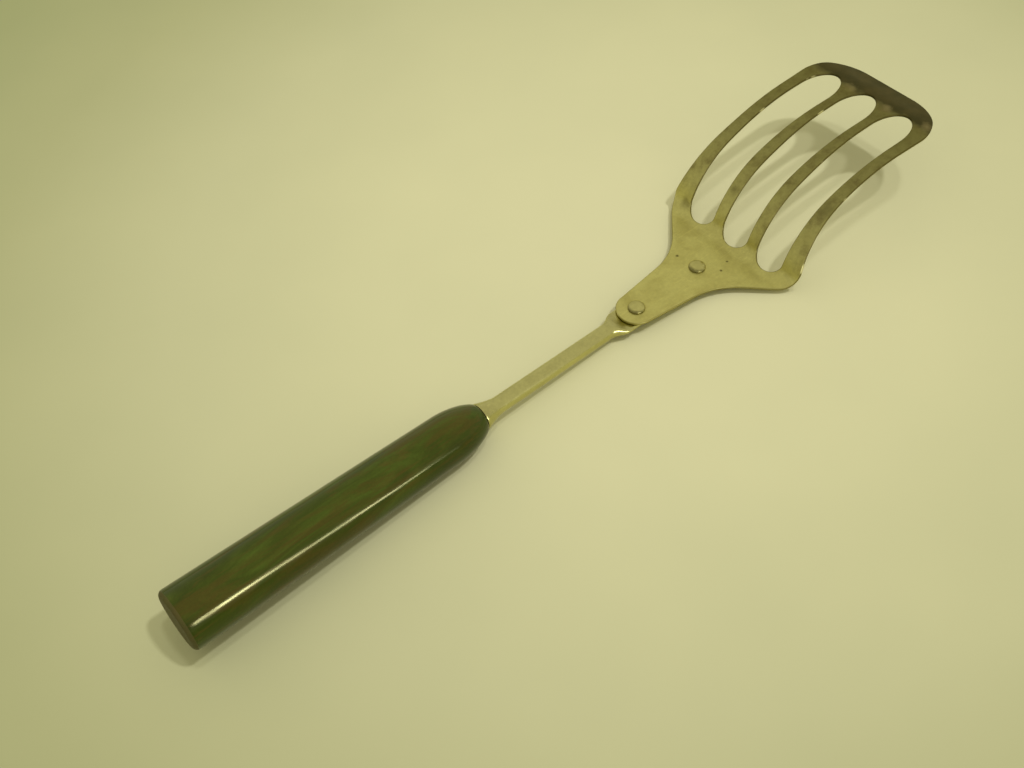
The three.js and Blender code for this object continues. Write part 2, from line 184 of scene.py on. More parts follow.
# Light: distant lamps as direction, share of the floor's light and angle; strips from end to end,
# with width and power, in metres and watts
SKY_COLOUR = (1.0, 0.955, 0.71, 1)
SKY_STRENGTH = 0.66
LAMP_COLOUR = (1, 0.99, 1)
STRIP_COLOUR = (0.98, 1, 1)
DISTANT_LAMPS = (
    ("key_lamp", (0.36, -0.34, 1.0), 0.26, 3.5),
    ("soft_lamp", (0.2, -0.15, 1.0), 0.12, 5.0),
)
STRIP_LAMPS = (
    ("strip_lamp", (-0.093, -0.40, 0.187), (0.06, -0.40, 0.03), 0.03, 0.45),
    ("strip_lamp_end", (-0.093, -0.41, 0.187), (-0.058, -0.41, 0.151), 0.06, 0.22),
)
STRIP_TARGET = (-0.1, 0, 0.015)

# Camera, as fitted to the photograph
CAMERA_PLACE = (-0.164076, -0.201384, 0.334780)
CAMERA_RIGHT = (0.761895, -0.642586, -0.081237)
CAMERA_UP = (0.553556, 0.580889, 0.596778)
CAMERA_SENSOR_WIDTH = 36
CAMERA_LENS = 43.024

SHANK_START = HANDLE_LENGTH + SEAT_GAP
TUBE_END = SHANK_START + FLARE_LENGTH + TUBE_LENGTH
TAB_START = TUBE_END + SHOULDER_LENGTH
REAR_RIVET = TAB_START + SEAT_GAP + NECK_END_RADIUS
FRONT_RIVET = REAR_RIVET + RIVET_SPACING
TAB_END = FRONT_RIVET + TAB_END_MARGIN
BLADE_UNDERSIDE = TAB_THICKNESS / 2 + SEAT_GAP
BLADE_TOP = BLADE_UNDERSIDE + SHEET_THICKNESS
SHEET_REAR = -(RIVET_SPACING + NECK_END_RADIUS)


def bend(radius, turn):
    """A bend of the sheet as its length and its turn in radians."""
    return radius * abs(turn) * DEGREE, turn * DEGREE


PROFILE = (
    (RIVET_SPACING + NECK_END_RADIUS + BASE_LENGTH, 0.0), bend(*HEEL_BEND), bend(*KNEE_BEND),
    bend(*SWEEP_BEND), (CREST_LENGTH, 0.0), bend(*LIP_BEND), (LIP_LENGTH, 0.0),
)
SHEET_TIP = SHEET_REAR + sum(length for length, _ in PROFILE)
SLOT_END = SHEET_TIP - LIP_DEPTH
SLOT_CURVE_START = SLOT_END - SLOT_TIP_CURVE


def placed(x, y, z):
    """A point of the tool's own frame, in millimetres, as a point of the scene in metres."""
    c, s = math.cos(TILT), math.sin(TILT)
    px, py, pz = BUTT_CENTRE
    return ((px + x * c + z * s) * MM, (py + y) * MM, (pz - x * s + z * c) * MM)


def new_mesh(name, points, faces, values=None):
    """A smooth-shaded mesh object from points in metres, with named values stored on its points."""
    mesh = bpy.data.meshes.new(name)
    mesh.from_pydata(points, [], faces)
    mesh.validate()
    mesh.polygons.foreach_set("use_smooth", [True] * len(mesh.polygons))
    for key, numbers in (values or {}).items():
        layer = mesh.attributes.new(key, "FLOAT", "POINT")
        layer.data.foreach_set("value", numbers)
    mesh.update()
    piece = bpy.data.objects.new(name, mesh)
    bpy.context.scene.collection.objects.link(piece)
    return piece


def ring_faces(rings, segments, looped=False, flip=False):
    """Quads that join successive rings of points, and the last ring to the first if looped."""
    faces = []
    for ring in range(rings if looped else rings - 1):
        below = ring * segments
        above = ((ring + 1) % rings) * segments
        for index in range(segments):
            after = (index + 1) % segments
            quad = (below + index, below + after, above + after, above + index)
            faces.append(quad[::-1] if flip else quad)
    return faces


def arc(centre, radii, start, end, steps):
    """Points (length, radius) on part of an ellipse; angles in degrees from the length axis."""
    points = []
    for step in range(steps + 1):
        angle = (start + (end - start) * step / steps) * DEGREE
        length = centre[0] + radii[0] * math.cos(angle)
        points.append((length, centre[1] + radii[1] * math.sin(angle)))
    return points


def revolve(name, outline, segments, values=None):
    """A body of revolution about the tool's axis; the outline is a list of (length, radius)."""
    points = []
    for length, radius in outline:
        for index in range(segments):
            angle = 2 * math.pi * (index + 0.5) / segments
            points.append(placed(length, radius * math.cos(angle), radius * math.sin(angle)))
    faces = ring_faces(len(outline), segments)
    faces.append(tuple(range(segments))[::-1])
    last = (len(outline) - 1) * segments
    faces.append(tuple(range(last, last + segments)))
    return new_mesh(name, points, [face[::-1] for face in faces], values)


def straight(start, end, steps):
    """Evenly spaced points between two points, without the first."""
    return [
        tuple(a + (b - a) * step / steps for a, b in zip(start, end))
        for step in range(1, steps + 1)
    ]


def make_handle():
    """The handle turned from its outline, with a value that marks the butt for the material."""
    nose_start = HANDLE_LENGTH - NOSE_CURVE_LENGTH
    end_angle = math.acos(NOSE_FACE_RADIUS / NOSE_RADIUS)
    semi_length = NOSE_CURVE_LENGTH / math.sin(end_angle)
    edge = BUTT_EDGE_RADIUS
    outline = [(0.0, radius) for radius in BUTT_RING_RADII]
    outline.append((0.0, BUTT_RADIUS - edge - BUTT_EDGE_MARGIN))
    outline += arc((edge, BUTT_RADIUS - edge), (edge, edge), 180, 90, BUTT_EDGE_STEPS)
    outline += straight(outline[-1], (nose_start, NOSE_RADIUS), HANDLE_STEPS)
    stop = end_angle / DEGREE - NOSE_RIM_ANGLE
    for step in range(1, NOSE_STEPS + 1):
        angle = stop * step / NOSE_STEPS * DEGREE
        outline.append((nose_start + semi_length * math.sin(angle), NOSE_RADIUS * math.cos(angle)))
    outline += [
        (HANDLE_LENGTH + length, NOSE_FACE_RADIUS + radius) for length, radius in NOSE_RIM
    ]
    outline += [(HANDLE_LENGTH, BORE_RADIUS), (HANDLE_LENGTH - BORE_SHOWN_DEPTH, BORE_RADIUS)]
    butt = []
    for length, _ in outline:
        butt += [1.0 if length < 0.6 * edge else 0.0] * HANDLE_SEGMENTS
    return revolve("handle_moulding", outline, HANDLE_SEGMENTS, {"butt": butt})


def smooth(share):
    """A share from nought to one that starts and ends level."""
    return share * share * (3 - 2 * share)


def shank_outline():
    """Stations of the shank: length, mean wall radius, and how far it is pressed flat."""
    wall = TUBE_WALL / 2
    rim = FLARE_RADIUS - wall
    tube = TUBE_RADIUS - wall
    stations = [(SHANK_START + length, rim - short, 0) for length, short in FLARE_RIM]
    rim_length, rim_short = FLARE_RIM[-1]
    for step in range(1, FLARE_STEPS + 1):
        share = step / FLARE_STEPS
        length = SHANK_START + rim_length + (FLARE_LENGTH - rim_length) * share
        eased = (1 - share) ** FLARE_POWER
        stations.append((length, tube + (rim - rim_short - tube) * eased, 0))
    for step in range(1, TUBE_STEPS):
        stations.append((SHANK_START + FLARE_LENGTH + TUBE_LENGTH * step / TUBE_STEPS, tube, 0))
    for step in range(SHOULDER_STEPS + 1):
        share = step / SHOULDER_STEPS
        stations.append((TUBE_END + SHOULDER_LENGTH * share, tube, smooth(share)))
    for step in range(1, TAB_STEPS + 1):
        stations.append((TAB_START + (TAB_END - TAB_START) * step / TAB_STEPS, tube, 1))
    return stations


def tube_ring(station, offset):
    """Points round the shank at a station, this far outside the middle of its wall."""
    length, mean_radius, pressed = station
    pressed_half_height = TAB_THICKNESS / 2 - TUBE_WALL / 2
    half_height = mean_radius + (pressed_half_height - mean_radius) * pressed
    half_flat = (TAB_WIDTH - TAB_THICKNESS) / 2 * pressed
    radius = half_height + offset
    ring = []
    for index in range(SHANK_SEGMENTS):
        angle = 2 * math.pi * (index + 0.5) / SHANK_SEGMENTS
        side = math.copysign(1, math.cos(angle)) * half_flat
        ring.append(placed(length, side + radius * math.cos(angle), radius * math.sin(angle)))
    return ring


def make_shank():
    """One skin that runs along the outside of the tube, round its pressed end and back inside."""
    wall = TUBE_WALL / 2
    stations = shank_outline()
    first, last = stations[0], stations[-1]
    soft_end = (last[0] - TAB_EDGE, last[1], last[2])
    sections = [(station, wall) for station in stations[:-1]]
    sections += [(soft_end, wall), (last, wall - TAB_EDGE)]
    sections += [(last, -wall + TAB_INNER_EDGE), (soft_end, -wall)]
    sections += [(station, -wall) for station in reversed(stations[1:-1])]
    sections += [(first, -wall + RIM_EDGE), (first, wall - RIM_EDGE)]
    points = [point for station, offset in sections for point in tube_ring(station, offset)]
    faces = ring_faces(len(sections), SHANK_SEGMENTS, looped=True, flip=True)
    return new_mesh("shank_tube", points, faces)


def sheet_frame(distance):
    """Place and slope of the blade's mid surface at a distance along the sheet."""
    x, z, slope = FRONT_RIVET + SHEET_REAR, BLADE_UNDERSIDE + SHEET_THICKNESS / 2, 0.0
    remaining = distance - SHEET_REAR
    for length, turn in PROFILE:
        part = min(remaining, length)
        if part <= 0:
            break
        turned = turn * part / length
        chord = part if turned == 0 else 2 * part * math.sin(turned / 2) / turned
        x += chord * math.cos(slope + turned / 2)
        z += chord * math.sin(slope + turned / 2)
        slope += turned
        remaining -= part
    return x, z, slope


def half_outline():
    """Left half of the flat blade's outline, from its rear end to the middle of its lip."""
    neck_angle = math.atan((NECK_FRONT_HALF_WIDTH - NECK_END_RADIUS) / NECK_LENGTH)
    slope = SHOULDER_ANGLE * DEGREE
    neck_front = -RIVET_SPACING + NECK_LENGTH
    fillet_x = neck_front - NECK_FILLET_RADIUS * math.sin(neck_angle)
    fillet_y = NECK_FRONT_HALF_WIDTH + NECK_FILLET_RADIUS * math.cos(neck_angle)
    corner_y = SHOULDER_HALF_WIDTH - SHOULDER_CORNER_RADIUS
    line_end_y = corner_y + SHOULDER_CORNER_RADIUS * math.cos(slope)
    line_start = (
        fillet_x + NECK_FILLET_RADIUS * math.sin(slope),
        fillet_y - NECK_FILLET_RADIUS * math.cos(slope),
    )
    line_end_x = line_start[0] + (line_end_y - line_start[1]) / math.tan(slope)
    corner_x = line_end_x + SHOULDER_CORNER_RADIUS * math.sin(slope)
    points = arc((-RIVET_SPACING, 0), (NECK_END_RADIUS, NECK_END_RADIUS), 180, 90, ROUND_STEPS)
    points += straight(points[-1], (neck_front, NECK_FRONT_HALF_WIDTH), NECK_STEPS)
    for step in range(1, ROUND_STEPS + 1):
        angle = neck_angle + (slope - neck_angle) * step / ROUND_STEPS
        points.append((
            fillet_x + NECK_FILLET_RADIUS * math.sin(angle),
            fillet_y - NECK_FILLET_RADIUS * math.cos(angle),
        ))
    points += straight(points[-1], (line_end_x, line_end_y), SHOULDER_LINE_STEPS)
    for step in range(1, SHOULDER_CORNER_STEPS + 1):
        angle = slope * (1 - step / SHOULDER_CORNER_STEPS)
        points.append((
            corner_x - SHOULDER_CORNER_RADIUS * math.sin(angle),
            corner_y + SHOULDER_CORNER_RADIUS * math.cos(angle),
        ))
    corner_start = SHEET_TIP - TIP_CORNER_RADIUS

    def side(x):
        """Half the width between the corners, which narrows to a waist."""
        end, width = corner_start, TIP_HALF_WIDTH
        if x < WAIST_POSITION:
            end, width = corner_x, SHOULDER_HALF_WIDTH
        share = min((x - WAIST_POSITION) / (end - WAIST_POSITION), 1)
        return WAIST_HALF_WIDTH + (width - WAIST_HALF_WIDTH) * share * share

    for step in range(1, SIDE_STEPS + 1):
        x = corner_x + (corner_start - corner_x) * step / SIDE_STEPS
        points.append((x, side(x)))
    for step in range(1, ROUND_STEPS + 1):
        angle = step / ROUND_STEPS * math.pi / 2
        x = corner_start + TIP_CORNER_RADIUS * math.sin(angle)
        points.append((x, TIP_HALF_WIDTH - TIP_CORNER_RADIUS * (1 - math.cos(angle))))
    points += straight(points[-1], (SHEET_TIP, 0), TIP_LINE_STEPS)
    return points


def slot_outline(centre):
    """A slot's edge: round at the heel, a little wider towards its long curved end at the lip."""
    heel = (SLOT_START + SLOT_HALF_WIDTH, 0)
    tip_radii = (SLOT_TIP_CURVE, SLOT_HALF_WIDTH + SLOT_FLARE)
    half = arc(heel, (SLOT_HALF_WIDTH, SLOT_HALF_WIDTH), 180, 90, SLOT_ROUND_STEPS)
    for x, _ in straight(half[-1], (SLOT_CURVE_START, 0), SLOT_SIDE_STEPS):
        share = min(max((x - SLOT_FLARE_START) / (SLOT_CURVE_START - SLOT_FLARE_START), 0), 1)
        half.append((x, SLOT_HALF_WIDTH + SLOT_FLARE * smooth(share)))
    half += arc((SLOT_CURVE_START, 0), tip_radii, 90, 0, SLOT_TIP_STEPS)[1:]
    around = half + [(x, -y) for x, y in reversed(half[1:-1])]
    return [(x, centre + y) for x, y in around]


def even_loop(points, spacing):
    """The same closed line with evenly spaced points."""
    loop = np.array(points + points[:1])
    steps = np.hypot(*np.diff(loop, axis=0).T)
    reached = np.concatenate([[0], np.cumsum(steps)])
    count = int(reached[-1] / spacing)
    wanted = np.linspace(0, reached[-1], count, endpoint=False)
    return np.stack([np.interp(wanted, reached, loop[:, axis]) for axis in (0, 1)], 1)


def inward(loop, distance):
    """The loop moved sideways into the sheet; the sheet lies on the loop's left."""
    along = np.roll(loop, -1, axis=0) - np.roll(loop, 1, axis=0)
    along /= np.hypot(along[:, 0], along[:, 1])[:, None]
    return loop + distance * np.stack([-along[:, 1], along[:, 0]], 1)


def inside(loop, points):
    """Which points lie inside a closed loop."""
    result = np.zeros(len(points), bool)
    x, y = points[:, 0], points[:, 1]
    for (ax, ay), (bx, by) in zip(loop, np.roll(loop, -1, axis=0)):
        crosses = (ay > y) != (by > y)
        if crosses.any():
            at = ax + (y[crosses] - ay) * (bx - ax) / (by - ay)
            result[crosses] ^= x[crosses] < at
    return result


def sheet_loops():
    """The blade's outline and its slots, each with the sheet on its left."""
    half = half_outline()
    outer = half + [(x, -y) for x, y in reversed(half[1:-1])]
    loops = [even_loop(outer[::-1], LOOP_SPACING)]
    loops += [even_loop(slot_outline(centre), LOOP_SPACING) for centre in SLOT_CENTRES]
    return loops


def filled_sheet(rims):
    """Triangles of the flat area between the innermost loops, over an even grid of points."""
    xs = np.arange(SHEET_REAR, SHEET_TIP, GRID_SPACING)
    ys = np.arange(-SHOULDER_HALF_WIDTH, SHOULDER_HALF_WIDTH, GRID_SPACING * GRID_STRETCH)
    grid = np.stack(np.meshgrid(xs, ys), -1).reshape(-1, 2)
    clear = [inward(rim, GRID_MARGIN) for rim in rims]
    keep = inside(clear[0], grid)
    for hole in clear[1:]:
        keep &= ~inside(hole, grid)
    edges, corners = [], []
    for rim in rims:
        first, count = len(corners), len(rim)
        edges += [(first + i, first + (i + 1) % count) for i in range(count)]
        corners += rim.tolist()
    corners += grid[keep].tolist()
    flat = geometry.delaunay_2d_cdt([Vector(c) for c in corners], edges, [], 0, CDT_TOLERANCE)
    points = np.array([tuple(v) for v in flat[0]])
    faces = [tuple(face) for face in flat[2]]
    middles = np.array([points[list(face)].mean(0) for face in faces])
    solid = inside(rims[0], middles)
    for rim in rims[1:]:
        solid &= ~inside(rim, middles)
    return points, [face for face, real in zip(faces, solid) if real]


def edge_profile():
    """Section of the sheet's edge from its top to its underside: how far in, and the height."""
    edge, half = SHEET_EDGE_RADIUS, SHEET_THICKNESS / 2
    profile = [(edge + SHEET_EDGE_MARGIN, half)]
    for turn in reversed(SHEET_EDGE_TURNS):
        angle = turn * DEGREE
        profile.append((edge * (1 - math.cos(angle)), half - edge + edge * math.sin(angle)))
    return profile + [(distance, -height) for distance, height in reversed(profile)]


def make_blade():
    """The sheet with rounded edges: rings round each outline, and a filled face on both sides."""
    edge, half = SHEET_EDGE_RADIUS, SHEET_THICKNESS / 2
    profile = edge_profile()
    flat, heights, edges, faces = [], [], [], []
    tops = []
    for loop in sheet_loops():
        first = len(flat)
        for distance, height in profile:
            moved = inward(loop, distance)
            flat += moved.tolist()
            heights += [height] * len(moved)
            edges += [1.0 if distance < edge * 0.9 else 0.0] * len(moved)
        for face in ring_faces(len(profile), len(loop), flip=True):
            faces.append(tuple(first + i for i in face))
        tops.append(inward(loop, edge + SHEET_EDGE_MARGIN))
    points, triangles = filled_sheet(tops)
    for height in (half, -half):
        first = len(flat)
        flat += points.tolist()
        heights += [height] * len(points)
        edges += [0.0] * len(points)
        for face in triangles:
            side = face if height > 0 else face[::-1]
            faces.append(tuple(first + i for i in side))
    placed_points = []
    for (distance, y), height in zip(flat, heights):
        x, z, slope = sheet_frame(distance)
        placed_points.append(placed(x - height * math.sin(slope), y, z + height * math.cos(slope)))
    values = {"along": [p[0] for p in flat], "across": [p[1] for p in flat], "edge": edges}
    piece = new_mesh("blade_sheet", placed_points, faces, values)
    weld(piece)
    return piece


def weld(piece):
    """Joins the points that two parts of one mesh share."""
    work = bmesh.new()
    work.from_mesh(piece.data)
    bmesh.ops.remove_doubles(work, verts=work.verts, dist=WELD_DISTANCE)
    bmesh.ops.recalc_face_normals(work, faces=work.faces)
    work.to_mesh(piece.data)
    work.free()


def make_rivet(name, position):
    """A low domed head with a rounded rim, and a value for the dirt and painted shade round its
    rim, darker on one side.
    """
    outline = [(height, RIVET_HEAD_RADIUS - short) for height, short in RIVET_RIM]
    rim_height = RIVET_RIM[-1][0]
    top = SEAT_GAP + RIVET_HEAD_HEIGHT
    for step in range(1, RIVET_DOME_STEPS + 1):
        angle = step / RIVET_DOME_STEPS * math.pi / 2
        height = rim_height + (top - rim_height) * math.sin(angle)
        outline.append((height, max(RIVET_HEAD_RADIUS * math.cos(angle), RIVET_CROWN_RADIUS)))
    points, dirt_and_shade = [], []
    for height, radius in outline:
        for index in range(RIVET_SEGMENTS):
            angle = 2 * math.pi * index / RIVET_SEGMENTS
            x, y = position + radius * math.cos(angle), radius * math.sin(angle)
            points.append(placed(x, y, BLADE_TOP + height))
            # Painted shade: the dirt ring is made darker on one side of the head
            side = 0.5 - 0.5 * math.cos(angle - LEAST_SHADED_SIDE)
            dirt_and_shade.append(radius / RIVET_HEAD_RADIUS * (0.55 + 0.45 * side))
    faces = ring_faces(len(outline), RIVET_SEGMENTS)
    faces.append(tuple(range(RIVET_SEGMENTS))[::-1])
    last = (len(outline) - 1) * RIVET_SEGMENTS
    faces.append(tuple(range(last, last + RIVET_SEGMENTS)))
    return new_mesh(name, points, faces, {"dirt_and_shade": dirt_and_shade})


class Graph:
    """Short names for building a material's nodes."""

    def __init__(self, name):
        self.material = bpy.data.materials.new(name)
        self.material.use_nodes = True
        self.nodes = self.material.node_tree.nodes
        self.links = self.material.node_tree.links
        self.shader = self.nodes["Principled BSDF"]

    def add(self, kind, inputs=None, **settings):
        """A new node with its settings made and its inputs fed."""
        node = self.nodes.new(kind)
        for key, value in settings.items():
            setattr(node, key, value)
        for key, value in (inputs or {}).items():
            self.feed(node.inputs[key], value)
        return node

    def feed(self, socket, value):
        """Links another node's output to an input, or sets the input to a constant."""
        if isinstance(value, bpy.types.NodeSocket):
            self.links.new(value, socket)
        else:
            socket.default_value = value

    def coordinates(self, scale):
        """Object coordinates turned with the tool, so that x runs along it."""
        where = self.add("ShaderNodeTexCoord")
        turned = self.add("ShaderNodeMapping", {
            "Vector": where.outputs["Object"], "Rotation": (0, -TILT, 0),
        })
        scaled = self.add("ShaderNodeMapping", {"Vector": turned.outputs[0], "Scale": scale})
        return scaled.outputs[0]

    def noise(self, scale, detail=4.0, rough=0.55, distortion=0.0, stretch=(1, 1, 1)):
        """Noise fixed to the object; a stretch under 1 draws it out along that axis."""
        node = self.add("ShaderNodeTexNoise", {
            "Vector": self.coordinates(stretch), "Scale": scale, "Detail": detail,
            "Roughness": rough, "Distortion": distortion,
        })
        return node.outputs["Fac"]

    def ramp(self, value, *stops):
        """Maps a value through stops of a position with a number or a colour."""
        node = self.add("ShaderNodeValToRGB", {"Fac": value})
        ramp = node.color_ramp
        while len(ramp.elements) < len(stops):
            ramp.elements.new(0.5)
        for element, (position, colour) in zip(ramp.elements, stops):
            element.position = position
            if isinstance(colour, (int, float)):
                colour = (colour, colour, colour)
            element.color = (*colour, 1)
        return node.outputs["Color"]

    def span(self, value, low, high, to_low=0.0, to_high=1.0):
        """Maps the stretch from low to high evenly, and holds the ends outside it."""
        node = self.add("ShaderNodeMapRange", {
            "Value": value, "From Min": low, "From Max": high,
            "To Min": to_low, "To Max": to_high,
        })
        return node.outputs[0]

    def math(self, operation, a, b=0.0):
        node = self.add("ShaderNodeMath", {0: a, 1: b}, operation=operation)
        return node.outputs[0]

    def mix(self, share, a, b, blend="MIX"):
        node = self.add("ShaderNodeMix", data_type="RGBA", blend_type=blend)
        for index, value in ((0, share), (6, a), (7, b)):
            if not isinstance(value, bpy.types.NodeSocket) and index > 0:
                value = (*value, 1)
            self.feed(node.inputs[index], value)
        return node.outputs[2]

    def value(self, name):
        """A value stored on the points of the mesh."""
        return self.add("ShaderNodeAttribute", attribute_name=name).outputs["Fac"]

    def patch(self, along, across, radius):
        """One inside a spot of the sheet with a soft, uneven edge, and nought outside it."""
        squares = []
        for name, place in (("along", along), ("across", across)):
            aside = self.math("SUBTRACT", self.value(name), place)
            squares.append(self.math("POWER", self.math("ABSOLUTE", aside), 2.0))
        far = self.math("SQRT", self.math("ADD", *squares))
        uneven = self.span(self.noise(420, 3), 0.3, 0.7, -0.35 * radius, 0.35 * radius)
        return self.span(self.math("ADD", far, uneven), 0.3 * radius, 1.4 * radius, 1.0, 0.0)

    def marked(self, colour, patches, share, mark):
        """The colour with patches of a mark's colour laid over it."""
        for along, across, radius in patches:
            inside_patch = self.patch(along, across, radius)
            colour = self.mix(self.math("MULTIPLY", inside_patch, share), colour, mark)
        return colour

    def bump(self, height, strength, distance, below=None):
        """A bumped normal, on top of another one if it is given."""
        inputs = {"Height": height, "Strength": strength, "Distance": distance}
        if below is not None:
            inputs["Normal"] = below
        return self.add("ShaderNodeBump", inputs).outputs[0]

    def finish(self, **inputs):
        """Feeds the shader and gives the material."""
        for key, value in inputs.items():
            self.feed(self.shader.inputs[key.replace("_", " ")], value)
        return self.material


def phenolic_material():
    """Polished dark green cast phenolic, marbled lengthwise with brown."""
    g = Graph("marbled_phenolic")
    clouds = g.noise(95, 5, 0.6, 0.9, (0.22, 1, 1))
    green = g.ramp(clouds, *PHENOLIC_GREENS)
    streaks = g.noise(150, 6, 0.62, 1.4, (0.11, 1, 1))
    brown_share = g.ramp(streaks, (0.48, 0.0), (0.6, 0.7), (0.72, 0.3))
    colour = g.mix(brown_share, green, PHENOLIC_BROWN)
    veins = g.noise(260, 4, 0.7, 2.0, (0.09, 1, 1))
    vein_share = g.ramp(veins, (0.56, 0.0), (0.66, 0.35))
    colour = g.mix(vein_share, colour, PHENOLIC_VEIN)
    grain = g.noise(1500, 2, 0.6)
    colour = g.mix(0.35, colour, g.ramp(grain, (0.3, 0.6), (0.7, 1.0)), "MULTIPLY")
    scuffs = g.noise(900, 3, 0.6, 0.0, (0.08, 1, 1))
    butt = g.value("butt")
    colour = g.mix(g.math("MULTIPLY", butt, 0.7), colour, PHENOLIC_BUTT)
    polished = g.span(scuffs, 0.45, 0.75, 0.12, 0.24)
    roughness = g.math("ADD", polished, g.math("MULTIPLY", butt, 0.5))
    waves = g.bump(g.noise(40, 2, 0.4, 0.0, (0.4, 1, 1)), 0.2, 0.0004)
    marks = g.bump(scuffs, 0.015, 0.0001, waves)
    return g.finish(
        Base_Color=colour, Roughness=roughness, Normal=marks, IOR=1.6, Specular_IOR_Level=0.28,
        Specular_Tint=PHENOLIC_SHINE,
    )


def sheet_share(distance):
    """Where a distance along the sheet falls between its ends, from nought to one."""
    return (distance - SHEET_REAR) / (SHEET_TIP - SHEET_REAR)


def steel_graph(name, base, dark, roughness):
    """Worn plain steel, tarnished, grained and scratched; also gives its colour, to add to."""
    g = Graph(name)
    clouds = g.noise(120, 5, 0.6, 0.6)
    colour = g.mix(g.span(clouds, 0.4, 0.75, 0.0, 0.55), base, dark)
    fine = g.noise(900, 3, 0.65)
    colour = g.mix(0.4, colour, g.ramp(fine, (0.3, 0.70), (0.7, 1.0)), "MULTIPLY")
    scratches = g.noise(1400, 2, 0.6, 0.2, (0.05, 1, 1))
    crossed = g.noise(1100, 2, 0.6, 0.2, (1, 0.05, 1))
    marks = g.math("MAXIMUM", g.span(scratches, 0.6, 0.75), g.span(crossed, 0.66, 0.8))
    colour = g.mix(g.math("MULTIPLY", marks, 0.3), colour, tuple(1.25 * c for c in base))
    rough = g.span(clouds, 0.35, 0.75, roughness - 0.05, roughness + 0.12)
    g.finish(
        Base_Color=colour, Roughness=rough, Normal=g.bump(scratches, 0.08, 0.0001), Metallic=1.0,
    )
    return g, colour


def sheet_material():
    """The blade's steel: browner towards its dark lip, with marks and wear; its edges carry painted
    shade and painted highlights, and painted highlight spots sit where the tines meet the lip.
    """
    g, colour = steel_graph("sheet_steel", *SHEET_STEEL)
    along = g.span(g.value("along"), SHEET_REAR, SHEET_TIP)
    darker_along = g.ramp(along, *((sheet_share(place), level) for place, level in ALONG_DARKENING))
    colour = g.mix(1.0, colour, darker_along, "MULTIPLY")
    colour = g.marked(colour, STAINS, 0.4, STAIN_COLOUR)
    blotches = g.span(g.noise(230, 5, 0.65), 0.46, 0.68, 0.0, 0.55)
    browner = g.math("MULTIPLY", blotches, g.span(along, sheet_share(14), sheet_share(34)))
    colour = g.mix(browner, colour, BLOTCH_COLOUR)
    edge = g.value("edge")
    # Painted shade: the sheet's edges are darkened, more so towards the tines
    edge_shade = g.span(along, sheet_share(-25), sheet_share(30), 0.45, 0.75)
    colour = g.mix(g.math("MULTIPLY", edge, edge_shade), colour, EDGE_SHADE_COLOUR)
    # Painted highlight along the edges where they catch light, together with bright wear of the
    # metal
    glint_and_wear_streak = g.math("MULTIPLY", g.span(edge, 0.5, 0.95), g.span(g.noise(120, 2), 0.62, 0.70))
    colour = g.mix(g.math("MULTIPLY", glint_and_wear_streak, 0.8), colour, EDGE_GLINT_AND_WEAR_COLOUR)
    ragged = g.span(g.noise(170, 2), 0.3, 0.7, -1.2, 1.2)
    lip = g.span(g.math("ADD", g.value("along"), ragged), SLOT_END - 3.8, SLOT_END - 0.2)
    lip_tone = g.mix(g.span(g.noise(150, 3), 0.35, 0.7), *LIP_DARK_COLOURS)
    colour = g.mix(lip, colour, lip_tone)
    # Painted highlight: lighter spots where the tines bend into the lip
    colour = g.marked(colour, TINE_END_GLINTS, 0.45, TINE_END_GLINT_COLOUR)
    colour = g.marked(colour, PITS, 0.9, PIT_COLOUR)
    metal = g.span(lip, 0.0, 1.0, 1.0, 0.25)
    return g.finish(
        Base_Color=colour, Metallic=metal, Specular_IOR_Level=0.2, Specular_Tint=SHEET_SHINE,
    )


def rivet_material():
    """Worn steel with dirt and painted shade round the rim of each head, the painted shade darker
    on one side.
    """
    g, colour = steel_graph("rivet_steel", *RIVET_STEEL)
    uneven = g.span(g.noise(500, 3), 0.3, 0.7, -0.06, 0.06)
    # Dirt and painted shade round the rim, darker on one side
    dirt_and_shade_share = g.span(g.math("ADD", g.value("dirt_and_shade"), uneven), 0.66, 0.9)
    return g.finish(Base_Color=g.mix(g.math("MULTIPLY", dirt_and_shade_share, 0.75), colour, DIRT_AND_SHADE_COLOUR))


def floor_material():
    """Pale paper with a painted pool of light: it is painted darker away from the middle of the
    light.
    """
    g = Graph("pale_floor")
    mottle = g.noise(14, 3, 0.5)
    colour = g.mix(g.span(mottle, 0.3, 0.7), *PAPER_COLOURS)
    offset = g.add("ShaderNodeVectorMath", {
        0: g.add("ShaderNodeTexCoord").outputs["Object"], 1: LIGHT_MIDDLE,
    }, operation="DISTANCE")
    # Painted light falloff: the paper darkens away from the middle of the light
    colour = g.mix(1.0, colour, g.ramp(offset.outputs["Value"], *FLOOR_PAINTED_FALLOFF), "MULTIPLY")
    grain = g.bump(g.noise(1800, 2), 0.02, 0.0001)
    return g.finish(Base_Color=colour, Roughness=1.0, Normal=grain, Specular_IOR_Level=0.0)


def make_floor():
    """A flat sheet of pale paper under the tool."""
    size, steps = FLOOR_HALF_SIZE, FLOOR_STEPS
    points, faces = [], []
    for row in range(steps + 1):
        for column in range(steps + 1):
            x, y = size * (column / steps - 0.5) * 2, size * (row / steps - 0.5) * 2
            points.append((x, y, 0.0))
    for row in range(steps):
        for column in range(steps):
            first = row * (steps + 1) + column
            faces.append((first, first + 1, first + steps + 2, first + steps + 1))
    floor = new_mesh("pale_floor", points, faces)
    floor.data.materials.append(floor_material())


def aim(thing, direction):
    """Turns a lamp so that its light comes from a direction."""
    thing.rotation_euler = Vector(direction).to_track_quat("Z", "Y").to_euler()


def add_lamp(name, kind, power, colour, **settings):
    """A new lamp of this kind, linked to the scene."""
    data = bpy.data.lights.new(name, kind)
    data.energy = power
    data.color = colour
    for key, value in settings.items():
        setattr(data, key, value)
    lamp = bpy.data.objects.new(name, data)
    bpy.context.scene.collection.objects.link(lamp)
    return lamp


